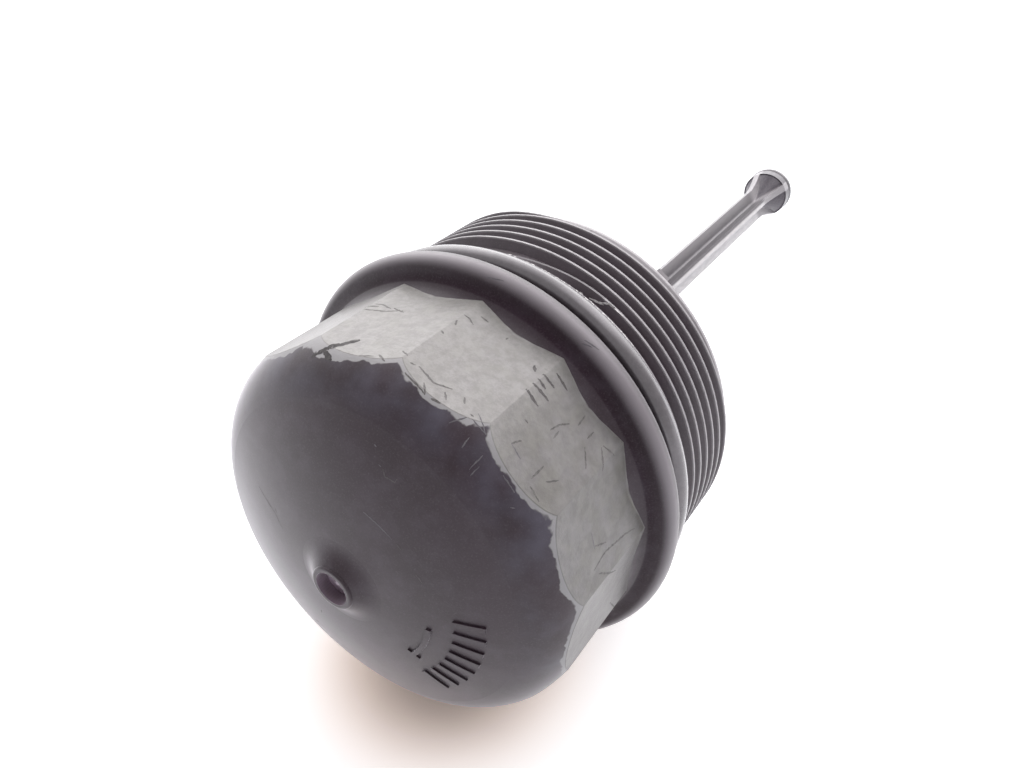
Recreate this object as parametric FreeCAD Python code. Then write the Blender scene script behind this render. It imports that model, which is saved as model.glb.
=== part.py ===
import FreeCAD, Part
import math
import os

# Oil filter housing cap: a screw cap with a fourteen-sided grip, an external thread, a long
# drain stem and two seal rings. Lengths in mm, angles in degrees.
# Each piece is drawn along its own axis: Z runs from the dome to the stem tip, Z = 0 is the
# middle of the flange bead, and +X is the side that faces up when the cap lies on a table.
# The last step lays the finished pieces on their side, on flange bead and thread.

# Grip and dome
GRIP_FLATS = 14
GRIP_ACROSS_FLATS = 74.0
GRIP_CORNER_ANGLE = 6.8        # of one corner, counted from the upper side
GRIP_CORNER_ROUND = 0.6
GRIP_WALL = 3.4
GRIP_SKIN_MARGIN = 0.25        # turned envelope of the grip beyond its corners
DOME_HEIGHT = 39.2             # from the middle of the flange bead
DOME_RADIUS = 78.3
DOME_EDGE_RADIUS = 11.7
DOME_WALL = 3.0

# External thread, right-handed
THREAD_RADIUS = 39.6
THREAD_PITCH = 3.0
THREAD_DEPTH_RATIO = 0.6       # depth for one of pitch
THREAD_CREST_RATIO = 0.16      # width of the crest for one of pitch
THREAD_FLANK_ANGLE = 30.0      # of each flank against a plane square to the axis
THREAD_TURNS = 6.04
THREAD_START_ANGLE = -6.0      # where the ridge rises from the core
THREAD_LEAD = 2.85             # from the shoulder to the middle of the crest at its start
THREAD_RUN_IN = 36.0           # angle over which the crest rises to its full height
THREAD_RUN_OUT = 34.0
THREAD_END_HEIGHT = 0.12       # of the ridge at either end
THREAD_ROOT_OVERLAP = 0.12     # how far the ridge reaches into the core
THREAD_STEP_ANGLE = 15.0

# Flange with its bead, ahead of the thread
FLANGE_OVERHANG = 2.9          # beyond the thread's crest
FLANGE_LAND = 0.1              # short flat land behind the bead
BEAD_RADIUS = 2.5
NECK_FILLET = 3.8
FLANGE_WEB = 3.0               # behind the level of the neck fillet's top

# Groove and ring of the large seal, and the shoulder behind it
SEAL_SECTION = 4.4
SEAL_GROOVE_DEPTH = 3.0
SEAL_GROOVE_WIDTH = 6.7
SEAL_CLEARANCE = 0.03          # between a seal ring and the floor and wall that carry it
SHOULDER_WIDTH = 0.7
SHOULDER_SLOPE = 0.8

# Skirt and inside of the cup
SKIRT_WALL = 3.2
SKIRT_LAND = 2.3               # from the last crest to the open end
SKIRT_CHAMFER = 0.6
MOUTH_CHAMFER = 0.8
CUP_STEP_LENGTH = 1.0          # cone from the grip's bore to the wider cup
INNER_EDGE_RADIUS = 7.0
LIP_TAB_ANGLE = 33.2
LIP_TAB_WIDTH = 2.8
LIP_TAB_HEIGHT = 1.4

# Gate nub in the middle of the dome
NUB_HEIGHT = 2.0
NUB_RADIUS = 4.25
NUB_EDGE = 0.5                 # rounding of the rim
NUB_DRAFT = 2.8                # from the rim out to where the side's line meets the dome
NUB_FOOT = 1.7                 # reach of the foot's fillet to each side of that meeting
NUB_WALL = 1.0
NUB_HOLE_DEPTH = 2.4
NUB_PIP_RADIUS = 0.8
NUB_PIP_HEIGHT = 0.9

# Boss on the inside of the dome that holds the stem, with its gussets
BOSS_HEIGHT = 16.2             # above the inner floor
BOSS_WALL = 3.25               # outside the corners of the stem's socket
SOCKET_DEPTH = 13.0
SOCKET_CLEARANCE = 0.05
GUSSETS = 4
GUSSET_WIDTH = 1.8
GUSSET_REACH = 16.0            # outwards from the boss
GUSSET_HEIGHT = 11.0           # at the boss, above the inner floor

# Drain stem: a cross-shaped rod that flares into a small head
STEM_REACH = 128.2             # from the mouth of the cup to the head's collar
STEM_ACROSS_RIBS = 8.7
STEM_RIB_WIDTH = 1.6
STEM_RIB_ANGLE = 58.0          # of one rib, counted from the upper side
STEM_CORE_FILLET = 0.7
STEM_FLARE_LENGTH = 11.4
STEM_SCOOP_LENGTH = 13.6       # of the hollows between the flaring ribs
STEM_FLARE_RIB_WIDTH = 2.2     # of each rib where it meets the head
HEAD_RADIUS = 6.9
HEAD_RIM_WALL = 0.35           # left of the collar's edge outside the scoops
HEAD_COLLAR = 3.0
HEAD_SCOOP_DEPTH = 0.5         # of the scoops into the collar
HEAD_GROOVE_DEPTH = 2.1
HEAD_NOSE_STEP = 1.2           # of the nose inside the collar's radius
HEAD_NOSE_LENGTH = 1.4
HEAD_NOSE_CHAMFER = 0.6
STEM_SEAL_SECTION = 2.3
STEM_SEAL_SLACK = 0.2          # groove width beyond the ring's section

# Raised index marks on the dome: radial ticks beside a curved arrow
MARK_HEIGHT = 0.35
MARK_SINK = 0.5
TICKS = 8
TICK_FIRST_ANGLE = 88.0
TICK_STEP_ANGLE = 7.0
TICK_START_RADIUS = 21.2
TICK_LENGTH = 5.2
TICK_WIDTH = 1.0
ARROW_START_ANGLE = 98.0
ARROW_SWEEP_ANGLE = 30.0
ARROW_RADIUS = 17.2
ARROW_WIDTH = 0.9
ARROW_HEAD_LENGTH = 2.6
ARROW_HEAD_WIDTH = 2.6

# How far a cutting or trimming body runs past what it cuts
OVERCUT = 1.0

AXIS_Z = FreeCAD.Vector(0, 0, 1)
ORIGIN = FreeCAD.Vector(0, 0, 0)

# Sizes that follow from those above
FLAT_RADIUS = GRIP_ACROSS_FLATS / 2
CORNER_RADIUS = FLAT_RADIUS / math.cos(math.pi / GRIP_FLATS)
SKIN_RADIUS = CORNER_RADIUS + GRIP_SKIN_MARGIN
GRIP_BORE_RADIUS = FLAT_RADIUS - GRIP_WALL
THREAD_DEPTH = THREAD_DEPTH_RATIO * THREAD_PITCH
THREAD_CREST = THREAD_CREST_RATIO * THREAD_PITCH
CORE_RADIUS = THREAD_RADIUS - THREAD_DEPTH
CUP_RADIUS = CORE_RADIUS - SKIRT_WALL
BEAD_CENTRE_RADIUS = THREAD_RADIUS + FLANGE_OVERHANG - BEAD_RADIUS
NECK_CENTRE_RADIUS = FLAT_RADIUS + NECK_FILLET
NECK_OFFSET = NECK_CENTRE_RADIUS - BEAD_CENTRE_RADIUS
SEAL_GROOVE_RADIUS = THREAD_RADIUS - SEAL_GROOVE_DEPTH
HEAD_GROOVE_RADIUS = HEAD_RADIUS - HEAD_GROOVE_DEPTH
SOCKET_ACROSS = STEM_ACROSS_RIBS + 2 * SOCKET_CLEARANCE
BOSS_RADIUS = SOCKET_ACROSS / 2 + BOSS_WALL

# Heights along the axis
APEX_Z = -DOME_HEIGHT
FLOOR_Z = APEX_Z + DOME_WALL
SOCKET_TOP_Z = FLOOR_Z + BOSS_HEIGHT
SOCKET_FLOOR_Z = SOCKET_TOP_Z - SOCKET_DEPTH
NECK_CENTRE_Z = -math.sqrt((NECK_FILLET + BEAD_RADIUS) ** 2 - NECK_OFFSET ** 2)
CUP_STEP_Z = NECK_CENTRE_Z + NECK_FILLET + FLANGE_WEB
FLANGE_BACK_Z = BEAD_RADIUS + FLANGE_LAND
SHOULDER_Z = FLANGE_BACK_Z + SEAL_GROOVE_WIDTH
SHOULDER_END_Z = SHOULDER_Z + SHOULDER_WIDTH
THREAD_START_Z = SHOULDER_END_Z + THREAD_LEAD
SKIRT_END_Z = THREAD_START_Z + THREAD_PITCH * THREAD_TURNS + SKIRT_LAND
HEAD_Z = SKIRT_END_Z + STEM_REACH
HEAD_GROOVE_Z = HEAD_Z + HEAD_COLLAR
NOSE_Z = HEAD_GROOVE_Z + STEM_SEAL_SECTION + STEM_SEAL_SLACK
TIP_Z = NOSE_Z + HEAD_NOSE_LENGTH


def rz(radius, z):
    """Point of a turned profile."""
    return FreeCAD.Vector(radius, 0, z)


def polar(radius, angle, z):
    a = math.radians(angle)
    return FreeCAD.Vector(radius * math.cos(a), radius * math.sin(a), z)


def line(a, b):
    return Part.makeLine(a, b)


def chain(points):
    """Straight edges from point to point."""
    return [line(a, b) for a, b in zip(points, points[1:])]


def arc(centre, radius, start, end):
    """Arc in the profile plane; angles run from +X towards +Z."""
    points = []
    for angle in (start, (start + end) / 2, end):
        a = math.radians(angle)
        points.append(centre + rz(radius * math.cos(a), radius * math.sin(a)))
    return Part.Arc(*points).toShape()


def sweep_line(*poles):
    """Smooth edge that leaves and meets its ends along the lines between its poles."""
    curve = Part.BezierCurve()
    curve.setPoles(list(poles))
    return curve.toShape()


def turned(edges):
    """Solid of revolution about Z from a closed chain of profile edges."""
    wire = Part.Wire(Part.__sortEdges__(edges))
    return Part.Face(wire).revolve(ORIGIN, AXIS_Z, 360)


def dome_profile(apex_z, cap_radius, edge_radius, side_radius):
    """Cap arc and edge arc that run tangentially into a cylinder, and where that starts."""
    reach = math.sqrt((cap_radius - edge_radius) ** 2 - (side_radius - edge_radius) ** 2)
    cap_centre = rz(0, apex_z + cap_radius)
    edge_centre = rz(side_radius - edge_radius, cap_centre.z - reach)
    seam = -math.degrees(math.atan2(reach, side_radius - edge_radius))
    cap = arc(cap_centre, cap_radius, -90, seam)
    edge = arc(edge_centre, edge_radius, seam, 0)
    return cap, edge, edge_centre.z


def dome_z(radius):
    """Height of the dome's skin at a radius near its middle."""
    return APEX_Z + DOME_RADIUS - math.sqrt(DOME_RADIUS ** 2 - radius ** 2)


def grip():
    """Solid grip with its dome, cut to flats, its corners slightly rounded."""
    cap, edge, side_z = dome_profile(APEX_Z, DOME_RADIUS, DOME_EDGE_RADIUS, SKIN_RADIUS)
    sides = chain([rz(SKIN_RADIUS, side_z), rz(SKIN_RADIUS, 0), ORIGIN, rz(0, APEX_Z)])
    body = turned([cap, edge] + sides)
    low = APEX_Z - OVERCUT
    corners = []
    for k in range(GRIP_FLATS):
        corners.append(polar(CORNER_RADIUS, GRIP_CORNER_ANGLE + 360.0 * k / GRIP_FLATS, low))
    prism = Part.Face(Part.makePolygon(corners + corners[:1])).extrude(rz(0, -low))
    arrises = [e for e in prism.Edges if e.BoundBox.ZLength > DOME_HEIGHT]
    return body.common(prism.makeFillet(GRIP_CORNER_ROUND, arrises))


def flange_and_skirt():
    """Turned part from the neck fillet to the open end, still solid inside."""
    meet = math.degrees(math.atan2(-NECK_CENTRE_Z, -NECK_OFFSET))
    fillet = arc(rz(NECK_CENTRE_RADIUS, NECK_CENTRE_Z), NECK_FILLET, 180, meet)
    bead = arc(rz(BEAD_CENTRE_RADIUS, 0), BEAD_RADIUS, meet - 180, 90)
    outline = [rz(BEAD_CENTRE_RADIUS, BEAD_RADIUS),
               rz(BEAD_CENTRE_RADIUS, FLANGE_BACK_Z),
               rz(SEAL_GROOVE_RADIUS, FLANGE_BACK_Z),
               rz(SEAL_GROOVE_RADIUS, SHOULDER_Z),
               rz(THREAD_RADIUS, SHOULDER_Z),
               rz(THREAD_RADIUS, SHOULDER_END_Z),
               rz(CORE_RADIUS, SHOULDER_END_Z + SHOULDER_SLOPE),
               rz(CORE_RADIUS, SKIRT_END_Z - SKIRT_CHAMFER),
               rz(CORE_RADIUS - SKIRT_CHAMFER, SKIRT_END_Z),
               rz(0, SKIRT_END_Z),
               rz(0, NECK_CENTRE_Z),
               rz(FLAT_RADIUS, NECK_CENTRE_Z)]
    return turned([fillet, bead] + chain(outline))


def crest_radius(turned_angle, total):
    """Radius of the thread's crest, which rises at its start and falls at its end."""
    rise = min(1.0, turned_angle / THREAD_RUN_IN, (total - turned_angle) / THREAD_RUN_OUT)
    smooth = rise * rise * (3 - 2 * rise)
    return CORE_RADIUS + THREAD_END_HEIGHT + (THREAD_DEPTH - THREAD_END_HEIGHT) * smooth


def thread_ridge():
    """Helical ridge with a run-in and a run-out, bounded by ruled surfaces."""
    root_radius = CORE_RADIUS - THREAD_ROOT_OVERLAP
    slope = math.tan(math.radians(THREAD_FLANK_ANGLE))
    crest_half = THREAD_CREST / 2
    root_half = crest_half + (THREAD_DEPTH + THREAD_ROOT_OVERLAP) * slope
    total = 360.0 * THREAD_TURNS
    steps = int(math.ceil(total / THREAD_STEP_ANGLE))
    rails = [[], [], [], []]
    for k in range(steps + 1):
        angle = total * k / steps
        z = THREAD_START_Z + THREAD_PITCH * angle / 360.0
        top = crest_radius(angle, total)
        places = ((root_radius, -root_half), (top, -crest_half),
                  (top, crest_half), (root_radius, root_half))
        for rail, (radius, dz) in zip(rails, places):
            rail.append(polar(radius, THREAD_START_ANGLE + angle, z + dz))
    curves = []
    for rail in rails:
        curve = Part.BSplineCurve()
        curve.interpolate(rail)
        curves.append(curve.toShape())
    faces = [Part.makeRuledSurface(curves[i], curves[(i + 1) % 4]) for i in range(4)]
    for end in (0, -1):
        ring = [rail[end] for rail in rails]
        faces.append(Part.Face(Part.makePolygon(ring + ring[:1])))
    shell = Part.makeShell(faces)
    shell.sewShape()
    ridge = Part.Solid(shell)
    if ridge.Volume < 0:
        ridge.reverse()
    return ridge


def cup_inside():
    """Space inside the cup, from the open end to the floor under the dome."""
    cap, edge, side_z = dome_profile(FLOOR_Z, DOME_RADIUS - DOME_WALL, INNER_EDGE_RADIUS,
                                     GRIP_BORE_RADIUS)
    over = SKIRT_END_Z + OVERCUT
    outline = [rz(GRIP_BORE_RADIUS, side_z),
               rz(GRIP_BORE_RADIUS, CUP_STEP_Z - CUP_STEP_LENGTH),
               rz(CUP_RADIUS, CUP_STEP_Z),
               rz(CUP_RADIUS, SKIRT_END_Z - MOUTH_CHAMFER),
               rz(CUP_RADIUS + MOUTH_CHAMFER, SKIRT_END_Z),
               rz(CUP_RADIUS + MOUTH_CHAMFER, over),
               rz(0, over),
               rz(0, FLOOR_Z)]
    return turned([cap, edge] + chain(outline))


def cross_wire(across, width, fillet, z):
    """Outline of a four-armed cross with rounded inner corners, square to the axis."""
    tip = across / 2
    half = width / 2
    bulge = half + fillet * (1 - math.sqrt(0.5))
    arm = [(tip, -half), (tip, half), (half + fillet, half), (bulge, bulge),
           (half, half + fillet)]
    edges = []
    for k in range(4):
        turn = FreeCAD.Rotation(AXIS_Z, 90 * k + STEM_RIB_ANGLE)
        a, b, c, d, e = [turn.multVec(FreeCAD.Vector(x, y, z)) for x, y in arm]
        following = FreeCAD.Rotation(AXIS_Z, 90).multVec(a)
        edges += [line(a, b), line(b, c), Part.Arc(c, d, e).toShape(), line(e, following)]
    return Part.Wire(edges)


def cross_prism(across, width, fillet, z0, z1):
    """Cross-shaped prism along Z."""
    return Part.Face(cross_wire(across, width, fillet, z0)).extrude(rz(0, z1 - z0))


def boss():
    """Boss under the dome with sloping gussets, still without its socket."""
    low = FLOOR_Z - DOME_WALL / 2
    post = Part.makeCylinder(BOSS_RADIUS, SOCKET_TOP_Z - low, rz(0, low))
    reach = BOSS_RADIUS + GUSSET_REACH
    outline = [rz(0, low), rz(reach, dome_z(reach) + DOME_WALL / 2),
               rz(reach, dome_z(reach) + DOME_WALL),
               rz(BOSS_RADIUS, FLOOR_Z + GUSSET_HEIGHT), rz(0, FLOOR_Z + GUSSET_HEIGHT)]
    gussets = []
    for k in range(GUSSETS):
        plate = Part.Face(Part.makePolygon(outline + outline[:1]))
        plate.translate(FreeCAD.Vector(0, -GUSSET_WIDTH / 2, 0))
        gusset = plate.extrude(FreeCAD.Vector(0, GUSSET_WIDTH, 0))
        gusset.rotate(ORIGIN, AXIS_Z, STEM_RIB_ANGLE + 360.0 * k / GUSSETS)
        gussets.append(gusset)
    return post.multiFuse(gussets)


def nub():
    """Raised gate ring on a conical side with a filleted foot, and the recess inside it."""
    rim_z = APEX_Z - NUB_HEIGHT
    side_top = rz(NUB_RADIUS, rim_z + NUB_EDGE)
    meet_radius = NUB_RADIUS + NUB_DRAFT
    meet = rz(meet_radius, dome_z(meet_radius))
    side_foot = meet + (side_top - meet).normalize() * NUB_FOOT
    foot = rz(meet_radius + NUB_FOOT, dome_z(meet_radius + NUB_FOOT))
    rim = rz(NUB_RADIUS - NUB_EDGE, rim_z)
    inner_z = APEX_Z + DOME_WALL / 2
    curves = [sweep_line(rim, rz(NUB_RADIUS, rim_z), side_top),
              line(side_top, side_foot),
              sweep_line(side_foot, meet, foot)]
    body = turned(curves + chain([foot, rz(foot.x, inner_z), rz(0, inner_z), rz(0, rim_z), rim]))
    recess = Part.makeCylinder(NUB_RADIUS - NUB_WALL, NUB_HOLE_DEPTH + OVERCUT,
                               rz(0, rim_z - OVERCUT))
    pip = Part.makeCone(NUB_PIP_RADIUS, NUB_PIP_RADIUS / 2, NUB_PIP_HEIGHT + OVERCUT,
                        rz(0, rim_z + NUB_HOLE_DEPTH + OVERCUT), -AXIS_Z)
    return body, recess, pip


def dome_marks():
    """Ticks and a curved arrow that stand out of the dome by the mark height."""
    low = APEX_Z - OVERCUT
    span = DOME_EDGE_RADIUS
    shapes = []
    for k in range(TICKS):
        tick = Part.makeBox(TICK_LENGTH, TICK_WIDTH, span,
                            FreeCAD.Vector(TICK_START_RADIUS, -TICK_WIDTH / 2, low))
        tick.rotate(ORIGIN, AXIS_Z, TICK_FIRST_ANGLE + TICK_STEP_ANGLE * k)
        shapes.append(tick)
    rod = Part.makeCylinder(ARROW_RADIUS + ARROW_WIDTH / 2, span, rz(0, low), AXIS_Z,
                            ARROW_SWEEP_ANGLE)
    shaft = rod.cut(Part.makeCylinder(ARROW_RADIUS - ARROW_WIDTH / 2, span, rz(0, low)))
    shaft.rotate(ORIGIN, AXIS_Z, ARROW_START_ANGLE)
    shapes.append(shaft)
    end_angle = ARROW_START_ANGLE + ARROW_SWEEP_ANGLE
    tip_angle = end_angle + math.degrees(ARROW_HEAD_LENGTH / ARROW_RADIUS)
    head = [polar(ARROW_RADIUS - ARROW_HEAD_WIDTH / 2, end_angle, low),
            polar(ARROW_RADIUS + ARROW_HEAD_WIDTH / 2, end_angle, low),
            polar(ARROW_RADIUS, tip_angle, low)]
    shapes.append(Part.Face(Part.makePolygon(head + head[:1])).extrude(rz(0, span)))
    centre = rz(0, APEX_Z + DOME_RADIUS)
    outer = Part.makeSphere(DOME_RADIUS + MARK_HEIGHT, centre)
    layer = outer.cut(Part.makeSphere(DOME_RADIUS - MARK_SINK, centre))
    return [shape.common(layer) for shape in shapes]


def lip_tab():
    """Small raised tab on the end face of the skirt."""
    inner = CUP_RADIUS + MOUTH_CHAMFER
    depth = CORE_RADIUS - SKIRT_CHAMFER - inner
    tab = Part.makeBox(depth, LIP_TAB_WIDTH, LIP_TAB_HEIGHT + SKIRT_CHAMFER,
                       FreeCAD.Vector(inner, -LIP_TAB_WIDTH / 2, SKIRT_END_Z - SKIRT_CHAMFER))
    tab.rotate(ORIGIN, AXIS_Z, LIP_TAB_ANGLE)
    return tab


def cap_body():
    """The whole moulding of the cap."""
    nub_body, recess, pip = nub()
    solid = grip().fuse(flange_and_skirt())
    solid = solid.multiFuse([nub_body] + dome_marks())
    solid = solid.cut(cup_inside())
    slot = cross_prism(SOCKET_ACROSS, STEM_RIB_WIDTH + 2 * SOCKET_CLEARANCE,
                       STEM_CORE_FILLET, SOCKET_FLOOR_Z, SOCKET_TOP_Z + OVERCUT)
    solid = solid.fuse(boss()).cut(slot)
    solid = solid.cut(recess).fuse(pip)
    solid = solid.fuse(lip_tab())
    solid = solid.fuse(thread_ridge())
    return solid.removeSplitter()


def seal_ring(floor_radius, section, wall_z):
    """Round-section ring on a groove floor, just ahead of the groove's far wall."""
    centre_radius = floor_radius + SEAL_CLEARANCE + section / 2
    centre_z = wall_z - SEAL_CLEARANCE - section / 2
    return Part.makeTorus(centre_radius, section / 2, rz(0, centre_z), AXIS_Z)


def stem_head():
    """Collar, ring groove and nose at the tip of the stem."""
    outline = [rz(0, HEAD_Z), rz(HEAD_RADIUS, HEAD_Z), rz(HEAD_RADIUS, HEAD_GROOVE_Z),
               rz(HEAD_GROOVE_RADIUS, HEAD_GROOVE_Z), rz(HEAD_GROOVE_RADIUS, NOSE_Z),
               rz(HEAD_RADIUS - HEAD_NOSE_STEP, NOSE_Z),
               rz(HEAD_RADIUS - HEAD_NOSE_STEP, TIP_Z - HEAD_NOSE_CHAMFER),
               rz(HEAD_RADIUS - HEAD_NOSE_STEP - HEAD_NOSE_CHAMFER, TIP_Z),
               rz(0, TIP_Z), rz(0, HEAD_Z)]
    return turned(chain(outline))


def drain_stem():
    """Cross-shaped rod whose ribs and core flare into the head that carries the seal."""
    scoop_end_z = HEAD_Z + HEAD_SCOOP_DEPTH
    rod = cross_prism(STEM_ACROSS_RIBS, STEM_RIB_WIDTH, STEM_CORE_FILLET, SOCKET_FLOOR_Z,
                      scoop_end_z)
    # Flared ribs: a widening cross kept only inside a trumpet-shaped envelope.
    start = HEAD_Z - STEM_FLARE_LENGTH
    rib_end = STEM_ACROSS_RIBS / 2 - SOCKET_CLEARANCE
    flare = sweep_line(rz(rib_end, start), rz(rib_end, start + STEM_FLARE_LENGTH / 3),
                       rz(HEAD_RADIUS, HEAD_Z))
    outline = [rz(HEAD_RADIUS, HEAD_Z), rz(HEAD_RADIUS, scoop_end_z), rz(0, scoop_end_z),
               rz(0, start), rz(rib_end, start)]
    envelope = turned([flare] + chain(outline))
    across = 2 * (HEAD_RADIUS + OVERCUT)
    wide = Part.makeLoft([cross_wire(across, STEM_RIB_WIDTH, STEM_CORE_FILLET, start),
                          cross_wire(across, STEM_FLARE_RIB_WIDTH, STEM_CORE_FILLET,
                                     HEAD_Z + HEAD_COLLAR)], True, True)
    # Core between the ribs: a trumpet that closes the four channels at the head.
    half = STEM_RIB_WIDTH / 2
    rim = HEAD_RADIUS - HEAD_RIM_WALL
    foot = HEAD_Z - STEM_SCOOP_LENGTH
    scoop = sweep_line(rz(half, foot), rz(half, foot + STEM_SCOOP_LENGTH / 3),
                       rz(rim, HEAD_Z))
    outline = [rz(rim, HEAD_Z), rz(rim, scoop_end_z), rz(0, scoop_end_z),
               rz(0, foot), rz(half, foot)]
    core = turned([scoop] + chain(outline))
    solid = rod.fuse(wide.common(envelope)).fuse(core).fuse(stem_head())
    return solid.removeSplitter()


def lying_tilt():
    """Angle at which flange bead and lowest thread crest touch one plane."""
    to_bottom = (180.0 - THREAD_START_ANGLE) / 360.0
    full_height = THREAD_TURNS - THREAD_RUN_OUT / 360.0
    last = to_bottom + math.floor(full_height - to_bottom)
    crest_z = THREAD_START_Z + THREAD_PITCH * last + THREAD_CREST / 2
    drop = BEAD_CENTRE_RADIUS - THREAD_RADIUS
    reach = math.hypot(crest_z, drop)
    return math.degrees(math.asin(BEAD_RADIUS / reach) + math.atan2(drop, crest_z))


def main():
    pieces = {
        "cap_body": cap_body(),
        "cap_seal_ring": seal_ring(SEAL_GROOVE_RADIUS, SEAL_SECTION, SHOULDER_Z),
        "drain_stem": drain_stem(),
        "stem_seal_ring": seal_ring(HEAD_GROOVE_RADIUS, STEM_SEAL_SECTION, NOSE_Z),
    }
    lean = FreeCAD.Rotation(FreeCAD.Vector(0, 1, 0), 90 + lying_tilt())
    lie = FreeCAD.Placement(ORIGIN, lean.multiply(FreeCAD.Rotation(AXIS_Z, 180)))
    for shape in pieces.values():
        shape.Placement = lie.multiply(shape.Placement)
    box = Part.makeCompound(list(pieces.values())).optimalBoundingBox(False, False)
    shift = FreeCAD.Vector(-box.Center.x, -box.Center.y, -box.ZMin)
    os.makedirs("parts", exist_ok=True)
    for name, shape in pieces.items():
        shape.translate(shift)
        shape.exportStep("parts/" + name + ".step")
        print(name, "volume", round(shape.Volume, 1), "valid", shape.isValid(),
              "solids", len(shape.Solids))
    print("tilt", round(lying_tilt(), 4), "middle of the bead", shift)


main()
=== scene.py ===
# Looks of the oil filter housing cap: materials, wear marks, floor, sky and camera.
import math
import random

import bpy
from mathutils import Matrix, Vector
from mathutils.bvhtree import BVHTree


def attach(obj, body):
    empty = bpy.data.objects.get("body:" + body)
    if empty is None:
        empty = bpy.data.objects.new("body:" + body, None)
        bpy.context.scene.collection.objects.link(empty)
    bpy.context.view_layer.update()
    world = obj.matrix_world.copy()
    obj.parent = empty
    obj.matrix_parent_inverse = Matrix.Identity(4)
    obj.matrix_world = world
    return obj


MM = 0.001

# The cap's own axes in the frame: it lies on its flange bead and last thread turn.
TILT = math.radians(5.6111)
CENTRE = Vector((-63.3441, 0.0, 42.3083)) * MM       # middle of the flange bead
ALONG = Vector((math.cos(TILT), 0.0, -math.sin(TILT)))
UPWARD = Vector((math.sin(TILT), 0.0, math.cos(TILT)))
ASIDE = Vector((0.0, -1.0, 0.0))

# Places on the cap, in mm: radii, and places along the axis from the bead's middle
GRIP_FLATS = 14
GRIP_CORNER = math.radians(6.8)      # of one corner, round the axis from the top
FLAT_RADIUS = 37.0
GRIP_END = -3.2                      # where the neck fillet takes over
BEAD_TOP = 42.5                      # outer radius of the flange bead
SEAL_END = 9.3                       # of the seal's groove
CREST_RADIUS = 39.6                  # of the thread
HOOK_END = 13.2                      # of the thread's bright start
HOOK_ANGLE = 0.48                    # where that starts, in radians round the axis from the top
LIP_END = 33.3                       # of the skirt
LIP_RADIUS = 37.5                    # from here outwards the lip is rubbed pale, partly a painted highlight
NUB_HOLE = 3.25                      # radius of the nub's recess
HEAD_START = 148.0                   # of the stem's flare
HEAD_END = 164.5                     # of the stem's collar
BLADE_TURN = math.radians(32.0)      # of the stem's blade from upright

# Camera
CAMERA_OFFSET = Vector((-96.54, -78.28, 118.02)) * MM    # from the middle of the flange bead
CAMERA_HEADING = 35.462                                  # degrees of the view, from +X to +Y
CAMERA_PITCH = -38.964
CAMERA_ROLL = math.radians(-3.503)
CAMERA_LENS = 30.63
CAMERA_SENSOR = 36.0
CAMERA_NEAR = 0.005
CAMERA_FAR = 20.0


def direction(heading, elevation):
    """Unit vector from a heading and an elevation in degrees."""
    heading, elevation = math.radians(heading), math.radians(elevation)
    return Vector((math.cos(elevation) * math.cos(heading),
                   math.cos(elevation) * math.sin(heading), math.sin(elevation)))


def add_camera():
    camera = bpy.data.objects.new("camera", bpy.data.cameras.new("camera"))
    bpy.context.scene.collection.objects.link(camera)
    camera.data.lens = CAMERA_LENS
    camera.data.sensor_width = CAMERA_SENSOR
    camera.data.clip_start = CAMERA_NEAR
    camera.data.clip_end = CAMERA_FAR
    forward = direction(CAMERA_HEADING, CAMERA_PITCH)
    level = forward.cross(Vector((0.0, 0.0, 1.0))).normalized()
    upright = level.cross(forward)
    right = level * math.cos(CAMERA_ROLL) + upright * math.sin(CAMERA_ROLL)
    up = right.cross(forward)
    turn = Matrix((right, up, -forward)).transposed()
    camera.matrix_world = Matrix.Translation(CENTRE + CAMERA_OFFSET) @ turn.to_4x4()
    bpy.context.scene.camera = camera


# Gloss that the surfaces share
SHEEN_ROUGHNESS = 0.30
COAT_ROUGHNESS = 0.22
COAT_IOR = 1.3


def rgb(red, green, blue):
    return red, green, blue, 1.0


WHITE = rgb(1.0, 1.0, 1.0)
GLOSS_TINT = rgb(1.0, 0.94, 1.0)


class Nodes:
    """Adds and links the nodes of one node tree."""

    def __init__(self, tree):
        self.tree = tree

    def add(self, kind, **settings):
        node = self.tree.nodes.new(kind)
        for key, value in settings.items():
            setattr(node, key, value)
        return node

    def put(self, socket, value):
        if isinstance(value, bpy.types.NodeSocket):
            self.tree.links.new(value, socket)
        else:
            socket.default_value = value

    def math(self, operation, a, b=0.0, c=0.0):
        node = self.add("ShaderNodeMath", operation=operation)
        for socket, value in zip(node.inputs, (a, b, c)):
            self.put(socket, value)
        return node.outputs[0]

    def vector(self, operation, a, b):
        node = self.add("ShaderNodeVectorMath", operation=operation)
        self.put(node.inputs[0], a)
        self.put(node.inputs[1], b)
        return node.outputs["Value" if operation in ("DISTANCE", "DOT_PRODUCT") else "Vector"]

    def seen(self):
        """One for camera, glossy and transmission rays, and nought for those that light."""
        path = self.add("ShaderNodeLightPath")
        seen = self.math("MAXIMUM", path.outputs["Is Camera Ray"], path.outputs["Is Glossy Ray"])
        return self.math("MAXIMUM", seen, path.outputs["Is Transmission Ray"])


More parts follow.
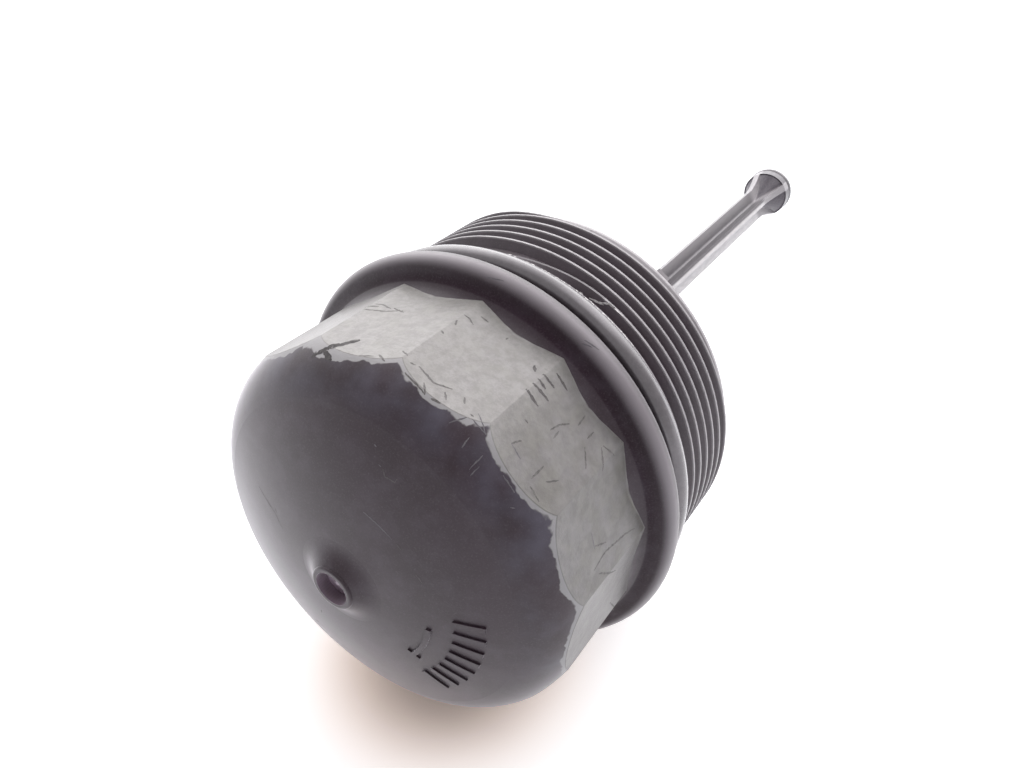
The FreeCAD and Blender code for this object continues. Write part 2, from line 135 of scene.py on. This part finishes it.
class Shader(Nodes):
    """Builds one material from places in millimetres in the cap's own axes."""

    def __init__(self, name):
        self.material = bpy.data.materials.new(name)
        self.material.use_nodes = True
        super().__init__(self.material.node_tree)
        self.tree.nodes.clear()
        self.output = self.add("ShaderNodeOutputMaterial")

    def where(self):
        return self.add("ShaderNodeTexCoord").outputs["Object"]

    def place(self):
        """Position in millimetres along the cap's axis, up and aside."""
        shift = self.vector("SUBTRACT", self.where(), CENTRE)
        scaled = self.vector("MULTIPLY", shift, (1.0 / MM,) * 3)
        return [self.vector("DOT_PRODUCT", scaled, axis) for axis in (ALONG, UPWARD, ASIDE)]

    def polar(self, up, aside):
        """Radius from the cap's axis, and angle round it from the top."""
        radius = self.math("SQRT", self.math("ADD", self.times(up, up), self.times(aside, aside)))
        return radius, self.math("ARCTAN2", aside, up)

    def join(self, x, y, z):
        node = self.add("ShaderNodeCombineXYZ")
        for socket, value in zip(node.inputs, (x, y, z)):
            self.put(socket, value)
        return node.outputs[0]

    def times(self, first, *others):
        for other in others:
            first = self.math("MULTIPLY", first, other)
        return first

    def rest(self, share):
        """What a share leaves of the whole."""
        return self.math("SUBTRACT", 1.0, share)

    def ramp(self, value, low, high, out_low=0.0, out_high=1.0):
        """Smooth step of value from low to high."""
        node = self.add("ShaderNodeMapRange", interpolation_type="SMOOTHSTEP")
        for socket, number in zip(node.inputs, (value, low, high, out_low, out_high)):
            self.put(socket, number)
        return node.outputs["Result"]

    def mix(self, factor, a, b):
        """Colour mix."""
        node = self.add("ShaderNodeMix", data_type="RGBA")
        self.put(node.inputs["Factor"], factor)
        self.put(node.inputs[6], a)
        self.put(node.inputs[7], b)
        return node.outputs[2]

    def blend(self, factor, a, b):
        """Mix of two plain values."""
        node = self.add("ShaderNodeMix", data_type="FLOAT")
        self.put(node.inputs["Factor"], factor)
        self.put(node.inputs[2], a)
        self.put(node.inputs[3], b)
        return node.outputs[0]

    def noise(self, vector, scale, detail=3.0, roughness=0.55, distortion=0.0):
        node = self.add("ShaderNodeTexNoise")
        self.put(node.inputs["Vector"], vector)
        node.inputs["Scale"].default_value = scale
        node.inputs["Detail"].default_value = detail
        node.inputs["Roughness"].default_value = roughness
        node.inputs["Distortion"].default_value = distortion
        return node.outputs["Fac"]

    def patches(self, vector, scale, low, high, detail=3.0, roughness=0.55, share=1.0):
        """Noise as patches: nought where it is under low, the full share where over high."""
        return self.ramp(self.noise(vector, scale, detail, roughness), low, high, 0.0, share)

    def bump(self, height, strength):
        node = self.add("ShaderNodeBump")
        node.inputs["Strength"].default_value = strength
        node.inputs["Distance"].default_value = 1.0
        self.put(node.inputs["Height"], height)
        return node.outputs["Normal"]

    def finish(self, colour, roughness, specular=0.5, sheen=0.0, coat=0.0,
               coat_roughness=COAT_ROUGHNESS, normal=None):
        surface = self.add("ShaderNodeBsdfPrincipled")
        self.put(surface.inputs["Base Color"], colour)
        self.put(surface.inputs["Roughness"], roughness)
        self.put(surface.inputs["Sheen Weight"], sheen)
        self.put(surface.inputs["Specular IOR Level"], specular)
        surface.inputs["Specular Tint"].default_value = GLOSS_TINT
        surface.inputs["Sheen Roughness"].default_value = SHEEN_ROUGHNESS
        surface.inputs["Sheen Tint"].default_value = GLOSS_TINT
        self.put(surface.inputs["Coat Weight"], coat)
        surface.inputs["Coat Roughness"].default_value = coat_roughness
        surface.inputs["Coat IOR"].default_value = COAT_IOR
        if normal is not None:
            self.put(surface.inputs["Normal"], normal)
        self.put(self.output.inputs["Surface"], surface.outputs[0])
        return self.material


# Colours of the moulding
NYLON = rgb(0.015, 0.005, 0.010), rgb(0.022, 0.009, 0.017)
SMEAR = rgb(0.048, 0.035, 0.046)
MOTTLE = rgb(0.070, 0.054, 0.063)
HAZE = rgb(0.100, 0.094, 0.128)
# Rubbed pale, and partly painted highlight: the bead's front rim, the thread crests and the lip
RUBBED_BEAD_AND_HIGHLIGHT = rgb(0.270, 0.240, 0.262)
RUBBED_EDGE_AND_HIGHLIGHT = rgb(0.40, 0.37, 0.39)
WORN_FLAT = rgb(0.136, 0.127, 0.114), rgb(0.178, 0.167, 0.167)
# Painted light for the upper worn flats, and painted shade for the lower ones
PAINTED_LIGHT_UPPER_FLAT = rgb(0.320, 0.306, 0.295)
PAINTED_SHADE_LOWER_FLAT = rgb(0.110, 0.102, 0.098)
WORN_FLECK = rgb(0.090, 0.083, 0.080)
WORN_STAIN = rgb(0.235, 0.230, 0.205)
# Pale worn rim of the flats, made paler still as painted light against its shading
PALE_RIM_AND_PAINTED_LIGHT = rgb(0.325, 0.312, 0.325)
# Painted light inside the nub's recess, lifting its shade
PAINTED_LIGHT_NUB_FLOOR = rgb(0.55, 0.44, 0.52)

# Where the moulding's looks change: each from nought to full, in mm
AHEAD_OF_BEAD = -1.0, -3.0               # along the axis, as the next two
AHEAD_OF_NECK = GRIP_END, GRIP_END - 0.3
HAZE_ALONG = -20.0, -24.0
HAZE_RADIUS = 29.0, 36.5
# Heights where the painted light on the upper flats and the painted shade on the lower flats set in
UPPER_FLATS = 26.0, 34.0                 # height over the axis, as the next
LOWER_FLATS = 8.0, -8.0
UNDER_FLAT = -0.10, -0.05                # depth under a flat's plane, as the next two
WORN_DEPTH = -0.20, -0.36
RIM_DEPTH = 0.02, 0.10
RAGGED_EDGE = 1.3                        # of the worn flats' lower edge
GOUGE_SPOT = -28.0, 35.4, -9.0           # middle of the gouge: along, up, aside
GOUGE_REACH = 7.0, 2.0                   # distance from there
GOUGE_BITE = 0.7                         # by which it moves the worn edge

# Gloss of the moulding
DOME_SPECULAR, OTHER_SPECULAR = 0.2, 0.6
DOME_SHEEN, FLAT_SHEEN, REAR_SHEEN = 0.9, 0.3, 0.15
DOME_ROUGHNESS = 0.40, 0.46
FLAT_ROUGHNESS = 0.40
FILM_ROUGHNESS = 0.5                     # of the oily film on the dome
GRAIN_HEIGHT = 0.010                     # in mm, as the next
PIT_DEPTH = 0.03                         # of the pits in the worn flats
RELIEF_STRENGTH = 0.8


def grip_depth(m, radius, angle):
    """Depth in mm below the plane of the nearest flat; negative outside it."""
    step = 2.0 * math.pi / GRIP_FLATS
    offset = m.math("FLOORED_MODULO", m.math("SUBTRACT", angle, GRIP_CORNER), step)
    reach = m.times(radius, m.math("COSINE", m.math("SUBTRACT", offset, step / 2)))
    return m.math("SUBTRACT", FLAT_RADIUS, reach)


def worn_grip(m, spot, radius, angle, ahead_of_neck):
    """Where the flats are worn down to a ragged edge on the dome, and the pale rim there."""
    depth = grip_depth(m, radius, angle)
    ragged = m.times(m.noise(spot, 0.30, 2.5, 0.55, 0.4), RAGGED_EDGE)
    gouged = m.times(m.ramp(m.vector("DISTANCE", spot, GOUGE_SPOT), *GOUGE_REACH), GOUGE_BITE)
    edge = m.math("SUBTRACT", m.math("SUBTRACT", depth, ragged), gouged)
    on_grip = m.times(ahead_of_neck, m.ramp(depth, *UNDER_FLAT))
    worn = m.times(on_grip, m.ramp(edge, *WORN_DEPTH))
    return worn, m.times(worn, m.ramp(depth, *RIM_DEPTH))


def dark_nylon(m, spot, along, radius):
    """Black moulding with smears, a fine mottle, and a bluish haze round the dome's edge."""
    dark = m.mix(m.patches(spot, 0.10, 0.35, 0.65), *NYLON)
    dark = m.mix(m.patches(spot, 0.20, 0.44, 0.68, 5.0, 0.68, share=0.45), dark, SMEAR)
    dark = m.mix(m.patches(spot, 3.0, 0.50, 0.70, 5.0, 0.75, share=0.5), dark, MOTTLE)
    haze = m.times(m.patches(spot, 0.09, 0.36, 0.72), m.ramp(radius, *HAZE_RADIUS),
                   m.ramp(along, *HAZE_ALONG))
    return m.mix(m.times(haze, 0.60), dark, HAZE)


def rubbed(m, dark, along, up, aside, radius, angle):
    """The dark moulding with its bead, thread crests and lip rubbed pale in streaks, partly as painted
    highlights.
    """
    streak = m.noise(m.join(m.times(along, 0.5), up, aside), 0.9, 5.0, 0.6)
    # Painted highlight and rubbing, on the bead's front side only
    on_bead = m.times(m.ramp(radius, BEAD_TOP - 2.0, BEAD_TOP - 0.3), m.ramp(along, 0.6, -0.6))
    ahead_of_hook = m.times(m.ramp(along, HOOK_END + 0.3, HOOK_END),
                            m.ramp(angle, HOOK_ANGLE + 0.02, HOOK_ANGLE))
    behind_seal = m.math("SUBTRACT", m.ramp(along, SEAL_END - 0.7, SEAL_END + 0.3),
                         m.times(ahead_of_hook, 0.8))
    on_crest = m.times(m.ramp(radius, CREST_RADIUS - 0.35, CREST_RADIUS - 0.05), behind_seal)
    on_lip = m.times(m.ramp(along, LIP_END - 1.6, LIP_END - 0.9),
                     m.ramp(along, LIP_END - 0.04, LIP_END - 0.12),
                     m.ramp(radius, LIP_RADIUS - 1.0, LIP_RADIUS))
    edges = m.times(m.math("MAXIMUM", m.times(on_crest, 0.6), on_lip),
                    m.ramp(streak, 0.25, 0.6, 0.65, 1.0))
    return m.mix(edges, m.mix(m.times(on_bead, 0.65), dark, RUBBED_BEAD_AND_HIGHLIGHT), RUBBED_EDGE_AND_HIGHLIGHT)


def pale_nylon(m, spot, up, fleck, rim):
    """Worn flats: patchy, with painted light on the upper flats and painted shade on the lower ones,
    and palest at their rim, partly painted light.
    """
    pale = m.mix(m.patches(spot, 0.16, 0.36, 0.64, 5.0, 0.6), *WORN_FLAT)
    # Painted light on the upper flats, painted shade on the lower ones
    pale = m.mix(m.ramp(up, *UPPER_FLATS, 0.0, 0.65), pale, PAINTED_LIGHT_UPPER_FLAT)
    pale = m.mix(m.ramp(up, *LOWER_FLATS, 0.0, 0.65), pale, PAINTED_SHADE_LOWER_FLAT)
    pale = m.mix(m.times(fleck, 0.40), pale, WORN_FLECK)
    pale = m.mix(m.times(m.patches(spot, 0.45, 0.40, 0.66, 3.0, 0.5), 0.25), pale, WORN_STAIN)
    # Pale worn rim, partly painted light against its shading
    return m.mix(m.times(rim, 0.8), pale, PALE_RIM_AND_PAINTED_LIGHT)


def moulded_plastic():
    """Black filled nylon: satin dome, flats worn pale by wrenches with painted light above and painted
    shade below, bead, crests and lip rubbed pale with painted highlights, and painted light in the
    nub's recess.
    """
    m = Shader("moulded_plastic")
    along, up, aside = m.place()
    radius, angle = m.polar(up, aside)
    spot = m.join(along, up, aside)
    ahead_of_bead = m.ramp(along, *AHEAD_OF_BEAD)
    ahead_of_neck = m.ramp(along, *AHEAD_OF_NECK)
    worn, rim = worn_grip(m, spot, radius, angle, ahead_of_neck)
    grain = m.noise(spot, 4.5, 4.0, 0.6)
    fleck = m.patches(spot, 0.6, 0.32, 0.68, 5.0, 0.70)

    dark = rubbed(m, dark_nylon(m, spot, along, radius), along, up, aside, radius, angle)
    colour = m.mix(worn, dark, pale_nylon(m, spot, up, fleck, rim))
    # Painted light inside the nub's recess
    in_nub = m.times(m.ramp(radius, NUB_HOLE + 0.1, NUB_HOLE - 0.1), m.ramp(along, 0.0, -30.0))
    colour = m.mix(m.times(in_nub, 0.9), colour, PAINTED_LIGHT_NUB_FLOOR)

    on_dome = m.times(ahead_of_bead, m.rest(worn))
    bare = m.math("MAXIMUM", worn, m.times(ahead_of_bead, m.rest(ahead_of_neck)))
    ahead_sheen = m.blend(bare, DOME_SHEEN, FLAT_SHEEN)
    height = m.math("SUBTRACT", m.times(grain, GRAIN_HEIGHT), m.times(worn, fleck, PIT_DEPTH))
    return m.finish(colour,
                    roughness=m.blend(worn, m.ramp(grain, 0.3, 0.7, *DOME_ROUGHNESS), FLAT_ROUGHNESS),
                    specular=m.blend(on_dome, OTHER_SPECULAR, DOME_SPECULAR),
                    sheen=m.blend(ahead_of_bead, REAR_SHEEN, ahead_sheen),
                    coat=m.rest(bare), coat_roughness=FILM_ROUGHNESS,
                    normal=m.bump(m.times(height, MM), RELIEF_STRENGTH))


def two_shades(name, low, high, scale, detail, **gloss):
    """Plain material that wanders between two shades."""
    m = Shader(name)
    colour = m.mix(m.patches(m.join(*m.place()), scale, 0.35, 0.65, detail), low, high)
    return m.finish(colour, **gloss)


def seal_rubber(name, low, high):
    """Black oiled rubber."""
    return two_shades(name, low, high, 0.6, 3.0, roughness=0.26, specular=1.0, sheen=0.45, coat=1.0)


def mark_plastic(name, low, high, roughness):
    """Torn or polished plastic of the marks that lie on the moulding."""
    return two_shades(name, low, high, 1.5, 4.0, roughness=roughness)


# Colours of the stem, mostly painted shade and light, and where they change, in mm: from nought to full
# Painted shade in the blade's corner, fading out to the upper blade's colour
PAINTED_CORNER_SHADE, UPPER_BLADE = rgb(0.036, 0.028, 0.036), rgb(0.190, 0.172, 0.185)
# Painted light on the lower blade
PAINTED_LIGHT_LOWER_BLADE = rgb(0.600, 0.570, 0.585)
# Painted shade over the head's scoops, and a painted highlight on its ribs
PAINTED_SCOOP_SHADE = rgb(0.040, 0.031, 0.046)
PAINTED_RIB_HIGHLIGHT = rgb(0.360, 0.335, 0.355)
STEM_FILM = rgb(0.165, 0.150, 0.165)
OUT_OF_CORNER = 1.0, 5.0             # height on the blade, as the next
LOWER_BLADE = 0.45, -0.10
PAINTED_LIGHT_SIDE = -0.2, 0.3               # to one side of the blade
NEAR_RIB = 1.5, 0.8                  # distance from the middle of a rib


def stem_plastic():
    """Black plastic of the stem: painted shade in the upper blade's corner, painted light on the lower
    blade, and painted shade and highlights on the head.
    """
    m = Shader("stem_plastic")
    along, up, aside = m.place()
    spot = m.join(m.times(along, 0.2), up, aside)
    blade = m.math("ADD", m.times(up, math.cos(BLADE_TURN)), m.times(aside, -math.sin(BLADE_TURN)))
    fin = m.math("ADD", m.times(up, math.sin(BLADE_TURN)), m.times(aside, math.cos(BLADE_TURN)))
    in_head = m.ramp(along, HEAD_START, HEAD_START + 5.0)
    near_rib = m.math("MINIMUM", m.math("ABSOLUTE", blade), m.math("ABSOLUTE", fin))
    on_rib = m.times(in_head, m.ramp(near_rib, *NEAR_RIB), m.ramp(along, HEAD_END + 0.4, HEAD_END))
    # Painted light on the lower blade
    lit_lower_blade = m.times(m.ramp(blade, *LOWER_BLADE), m.ramp(fin, *PAINTED_LIGHT_SIDE))
    # Painted shade on the upper blade, darker towards its corner
    shade = m.mix(m.ramp(blade, *OUT_OF_CORNER), PAINTED_CORNER_SHADE, UPPER_BLADE)
    shade = m.mix(lit_lower_blade, shade, PAINTED_LIGHT_LOWER_BLADE)
    # Painted shade over the head, with painted highlights on its ribs
    shade = m.mix(in_head, shade, PAINTED_SCOOP_SHADE)
    shade = m.mix(on_rib, shade, PAINTED_RIB_HIGHLIGHT)
    colour = m.mix(m.patches(spot, 2.0, 0.35, 0.65, 4.0, share=0.22), shade, STEM_FILM)
    return m.finish(colour, roughness=0.30, specular=0.6, coat=0.2)


# Floor: pale, with a glow that only the camera and reflections see. A painted shadow lies round the
# shadow's core under the dome: less glow there and a warmer floor colour. Distances are from the core,
# from nought to full.
FLOOR_SIZE = 6.0
FLOOR_COLOUR = rgb(0.91, 0.95, 0.98)
# Warmer floor colour of the painted shadow
PAINTED_SHADOW_COLOUR = rgb(0.98, 0.80, 0.69)
GLOW_COLOUR = rgb(1.0, 0.88, 0.85)
CORE_GLOW, OPEN_GLOW = 0.13, 0.45
SHADOW_CORE = Vector((-80.0, 0.0, 0.0)) * MM
GLOW_SPAN = 12.0 * MM, 30.0 * MM
PAINTED_SHADOW_SPAN = 36.0 * MM, 16.0 * MM


def white_table():
    """Pale floor that reaches white in the picture where no shadow lies on it, with a painted shadow,
    darker and warmer, round the core under the dome.
    """
    m = Shader("white_table")
    away = m.vector("DISTANCE", m.where(), SHADOW_CORE)
    diffuse = m.add("ShaderNodeBsdfDiffuse")
    # Painted shadow: a warmer floor colour near the core
    m.put(diffuse.inputs["Color"], m.mix(m.ramp(away, *PAINTED_SHADOW_SPAN), FLOOR_COLOUR, PAINTED_SHADOW_COLOUR))
    glow = m.add("ShaderNodeEmission")
    glow.inputs["Color"].default_value = GLOW_COLOUR
    # Painted shadow: less glow near the core
    m.put(glow.inputs["Strength"], m.times(m.seen(), m.ramp(away, *GLOW_SPAN, CORE_GLOW, OPEN_GLOW)))
    both = m.add("ShaderNodeAddShader")
    m.put(both.inputs[0], diffuse.outputs[0])
    m.put(both.inputs[1], glow.outputs[0])
    m.put(m.output.inputs["Surface"], both.outputs[0])
    return m.material


def add_floor():
    half = FLOOR_SIZE / 2
    mesh = bpy.data.meshes.new("floor")
    mesh.from_pydata([(-half, -half, 0), (half, -half, 0), (half, half, 0), (-half, half, 0)],
                     [], [(0, 1, 2, 3)])
    floor = bpy.data.objects.new("floor", mesh)
    bpy.context.scene.collection.objects.link(floor)
    mesh.materials.append(white_table())


# Sky of broad soft lobes, each with its heading and elevation in degrees and its strength in
# the middle. Most of the light comes from behind the object and from the right.
SKY_LOBES = [
    (330, 10, 1.5), (0, 10, 1.7), (30, 10, 1.9), (60, 10, 1.2), (90, 10, 0.9), (120, 10, 0.6),
    (330, 34, 2.2), (0, 34, 1.9), (30, 34, 1.9), (60, 34, 2.0), (90, 34, 0.8),
    (270, 58, 1.1), (315, 58, 2.5), (0, 58, 0.4), (45, 58, 0.9), (90, 58, 1.2), (0, 85, 0.8),
]
LOBE_FOCUS = 15.0                    # power of the cosine that shapes a lobe


def add_world():
    """The sky lights the object, and is white to the camera and in reflections."""
    world = bpy.data.worlds.new("studio")
    world.use_nodes = True
    sky = Nodes(world.node_tree)
    where = sky.add("ShaderNodeTexCoord").outputs["Generated"]
    total = 0.0
    for heading, elevation, strength in SKY_LOBES:
        facing = sky.vector("DOT_PRODUCT", where, direction(heading, elevation))
        lobe = sky.math("POWER", sky.math("MAXIMUM", facing, 0.0), LOBE_FOCUS)
        total = sky.math("MULTIPLY_ADD", lobe, strength, total)
    background = world.node_tree.nodes["Background"]
    background.inputs["Color"].default_value = WHITE
    sky.put(background.inputs["Strength"], sky.math("MAXIMUM", total, sky.seen()))
    bpy.context.scene.world = world


# Wear marks on the moulding's side, as (along, turn, length, slant, ...): the start in mm along
# the axis and in degrees round it from the top, then legs over the skin. A leg has a length in mm
# and a slant in degrees from the axis towards the rising turn.
GOUGES = [
    (-28.7, -17, 4.6, 55, 3.5, 35), (-27.5, -14, 2.9, 117), (-27.3, -13, 1.5, 27, 0.9, 57),
]
NICKS = [
    (-14.5, 32, 3.2, 93), (-12.5, 32, 3.7, 84), (-11, 32, 2.0, 93), (-9.5, 32, 2.8, 88),
    (-7, 34, 3.2, 95), (-9, 29, 1.4, 143), (-25, -11, 2.6, 41),
]
SCORES = [
    (-13.5, -20, 2.6, 68), (-14.5, -19, 4.3, 76), (-12, -18, 1.5, 80, 2.2, 108), (-14, -14, 3.9, 61),
    (-12, -12, 2.7, 102), (-27, -3, 2.3, 70), (-25.5, 1, 2.1, 116), (-23, 5, 1.6, 117),
    (-9, 7, 1.0, 90, 1.5, 117), (-7, 10, 1.6, 93), (-11, 7, 1.3, 155), (-15, 7, 0.7, 121),
    (-24.5, 9, 0.9, 71), (-26.5, 10, 4.7, 102), (-24, 11, 3.7, 104, 2.9, 65), (-26, 15, 2.2, 137),
    (-27.5, 19, 1.6, 80), (-8, 19, 0.7, 4), (-25, 20, 1.6, 136), (-23.5, 24, 1.3, 143),
    (-25.5, 28, 0.6, 90), (-18.5, 37, 0.8, 87), (-23.5, 39, 2.1, 21), (-15.5, 43, 2.3, 10, 2.2, 28),
    (-16, 45, 1.9, -6), (-10, 47, 2.7, -6), (-24.5, 48, 3.5, 0), (-25.5, 49, 2.6, 97),
    (-22.5, 51, 2.6, 28), (-10, 51, 2.1, 0), (-11.5, 52, 3.6, 137), (-8.5, 55, 3.9, 133),
    (-8, 55, 2.7, 69), (-18, 74, 3.3, 24), (-20, 79, 4.2, -9, 6.3, 10, 3.3, 17),
    (-19, 81, 6.7, 35), (-11.5, 103, 14.7, 54),
]
SCRATCHES = [
    (-28.5, 26, 2.5, 31), (-26, 29, 2.9, 94), (-24.5, 29, 3.5, 120), (-29.5, 32, 1.5, -9),
    (-30.5, 37, 2.2, -5), (-29.5, 38, 1.3, 174), (-23.5, 39, 2.7, 99), (-28, 43, 3.1, 92),
    (-29.5, 50, 0.7, 50), (-18, 70, 2.9, 97), (-2, 6, 2.7, 80), (-1.5, 33, 2.5, 76),
    (-2, 33, 1.6, 68), (18.5, -4, 0.7, 110),
]
THREAD_START = [
    (12.2, 27, 2.0, 70, 3.0, 88), (12.1, 25, 2.7, 82), (12.9, -2, 0.7, 80), (12.6, 0, 0.6, 95),
    (12, 22, 0.8, 88),
]
# On the dome a start is its distance from the axis and its turn, and a slant is from outwards.
DOME_SCORES = [
    (22, -67, 5.5, 187, 3.0, 213), (26, 18, 1.2, 132, 1.8, 80, 0.7, 0), (17.6, 41, 1.2, 90),
    (17.4, 60, 1.6, 75), (25.5, -149, 1.5, 215), (15, -150, 1.1, -15), (16.3, -67, 0.8, 50),
]
DOME_SCRATCHES = [(17.5, 18, 6.1, 90), (28.4, 12, 0.5, 100), (26.2, 16, 0.5, 100)]

CRUMB_ROW = 9.8                      # of the crumbs beside the seal ring, along the axis
CRUMB_TURNS = 6.0, 41.0              # first and last crumb, degrees round the axis from the top
CRUMB_COUNT = 24
CRUMB_SPREAD = 0.1                   # along the axis, each way
CRUMB_SPREAD_TURN = 0.5              # degrees, each way
CRUMB_LENGTHS = 0.35, 0.9
MARK_REACH = 60.0                    # from the axis or the bead, where the search for skin starts
MARK_LIFT = 0.012                    # of a mark above the moulding's skin
MARK_STEP = 0.35                     # between the cross lines of a mark
MARK_HALVES = 0.35, 0.62             # least and most of a mark on each side, as shares of its width
MARK_TIP = 0.08                      # share of the taper's arch that is cut off at each end
MARK_BLUNTNESS = 0.6                 # power that shapes the taper
MARK_SEED = 5


def crumbs():
    """A ragged row of short rubbed crumbs along the edge beside the seal ring."""
    chance = random.Random(MARK_SEED)
    first, last = CRUMB_TURNS
    step = (last - first) / (CRUMB_COUNT - 1)
    return [(CRUMB_ROW + chance.uniform(-CRUMB_SPREAD, CRUMB_SPREAD),
             first + step * k + chance.uniform(-CRUMB_SPREAD_TURN, CRUMB_SPREAD_TURN),
             chance.uniform(*CRUMB_LENGTHS), 90) for k in range(CRUMB_COUNT)]


def trail(mark, on_dome):
    """Places along a mark, as (along, turn in radians), or on the dome (radius, turn)."""
    first, turn, *legs = mark
    turn = math.radians(turn)
    places = [(first, turn)]
    for length, slant in zip(legs[::2], legs[1::2]):
        steps = max(2, round(length / MARK_STEP))
        step, slant = length / steps, math.radians(slant)
        for _ in range(steps):
            turn += step * math.sin(slant) / (first if on_dome else FLAT_RADIUS)
            first += step * math.cos(slant)
            places.append((first, turn))
    return places


def search_line(first, turn, on_dome):
    """Start and way of the straight search that meets the skin at a place of a mark."""
    outwards = UPWARD * math.cos(turn) + ASIDE * math.sin(turn)
    if on_dome:
        return CENTRE + (outwards * first - ALONG * MARK_REACH) * MM, ALONG
    return CENTRE + (ALONG * first + outwards * MARK_REACH) * MM, -outwards


def skin_hits(mark, carrier, skin, on_dome):
    """Places and normals on the carrier's skin along a mark."""
    to_skin = carrier.matrix_world.inverted()
    hits = []
    for place in trail(mark, on_dome):
        start, way = search_line(*place, on_dome)
        spot, normal, _, _ = skin.ray_cast(to_skin @ start, to_skin.to_3x3() @ way)
        hits.append((carrier.matrix_world @ spot, carrier.matrix_world.to_3x3() @ normal))
    return hits


def wear_marks(name, marks, material, carrier, width, wander=0.05, on_dome=False):
    """Thin tapered strips that lie on the carrier's skin along the given marks."""
    skin = BVHTree.FromObject(carrier, bpy.context.evaluated_depsgraph_get())
    chance = random.Random(MARK_SEED)
    verts, faces = [], []
    for mark in marks:
        hits = skin_hits(mark, carrier, skin, on_dome)
        first, last = len(verts), len(hits) - 1
        for k, (spot, normal) in enumerate(hits):
            ahead = hits[min(k + 1, last)][0] - hits[max(k - 1, 0)][0]
            across = normal.cross(ahead).normalized()
            arch = math.sin(math.pi * (MARK_TIP + (1.0 - 2.0 * MARK_TIP) * k / last))
            half = width * arch ** MARK_BLUNTNESS * chance.uniform(*MARK_HALVES) * MM
            spot = spot + (across * chance.uniform(-wander, wander) + normal * MARK_LIFT) * MM
            verts += [spot - across * half, spot + across * half]
        faces += [(i, i + 1, i + 3, i + 2) for i in range(first, len(verts) - 2, 2)]
    mesh = bpy.data.meshes.new(name)
    mesh.from_pydata([tuple(v) for v in verts], [], faces)
    piece = bpy.data.objects.new(name, mesh)
    bpy.context.scene.collection.objects.link(piece)
    mesh.materials.append(material)
    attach(piece, "root")


def add_wear(moulding):
    """Gouge, nicks, scores, scratches and crumbs, where the photograph shows them."""
    gouge = mark_plastic("gouge_plastic", rgb(0.022, 0.019, 0.019), rgb(0.055, 0.049, 0.047), 0.6)
    nick = mark_plastic("nick_plastic", rgb(0.046, 0.040, 0.040), rgb(0.085, 0.077, 0.074), 0.5)
    score = mark_plastic("score_plastic", rgb(0.070, 0.064, 0.060), rgb(0.125, 0.117, 0.112), 0.5)
    scratch = mark_plastic("scratch_plastic", rgb(0.085, 0.078, 0.088), rgb(0.13, 0.12, 0.13), 0.5)
    crumb = mark_plastic("crumb_plastic", rgb(0.45, 0.42, 0.43), rgb(0.72, 0.69, 0.69), 0.6)
    wear_marks("wear_gouges", GOUGES, gouge, moulding, width=0.95, wander=0.08)
    wear_marks("wear_nicks", NICKS, nick, moulding, width=0.60)
    wear_marks("wear_scores", SCORES, score, moulding, width=0.36)
    wear_marks("wear_scratches", SCRATCHES, scratch, moulding, width=0.22)
    wear_marks("wear_dome_scores", DOME_SCORES, nick, moulding, width=0.24, on_dome=True)
    wear_marks("wear_dome_scratches", DOME_SCRATCHES, scratch, moulding, width=0.22, on_dome=True)
    wear_marks("wear_thread_start", THREAD_START, crumb, moulding, width=0.34, wander=0.03)
    wear_marks("wear_crumbs", crumbs(), crumb, moulding, width=0.30, wander=0.03)


def dress(nodes):
    """Gives each CAD node its material."""
    looks = {
        "cap_body": moulded_plastic(),
        "drain_stem": stem_plastic(),
        "cap_seal_ring": seal_rubber("ring_rubber", rgb(0.050, 0.042, 0.047), rgb(0.070, 0.060, 0.066)),
        "stem_seal_ring": seal_rubber("tip_rubber", rgb(0.16, 0.15, 0.16), rgb(0.20, 0.19, 0.20)),
    }
    for name, material in looks.items():
        mesh = nodes[name].data
        mesh.materials.clear()
        mesh.materials.append(material)


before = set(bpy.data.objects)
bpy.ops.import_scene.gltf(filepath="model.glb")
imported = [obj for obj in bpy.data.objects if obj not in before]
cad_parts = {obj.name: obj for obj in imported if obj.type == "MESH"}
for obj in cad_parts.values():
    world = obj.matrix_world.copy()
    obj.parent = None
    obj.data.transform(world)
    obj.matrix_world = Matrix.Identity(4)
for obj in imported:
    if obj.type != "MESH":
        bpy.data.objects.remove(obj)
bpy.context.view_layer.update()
bpy.context.scene.view_settings.view_transform = "Standard"
add_camera()
add_world()
add_floor()
dress(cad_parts)
add_wear(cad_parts["cap_body"])
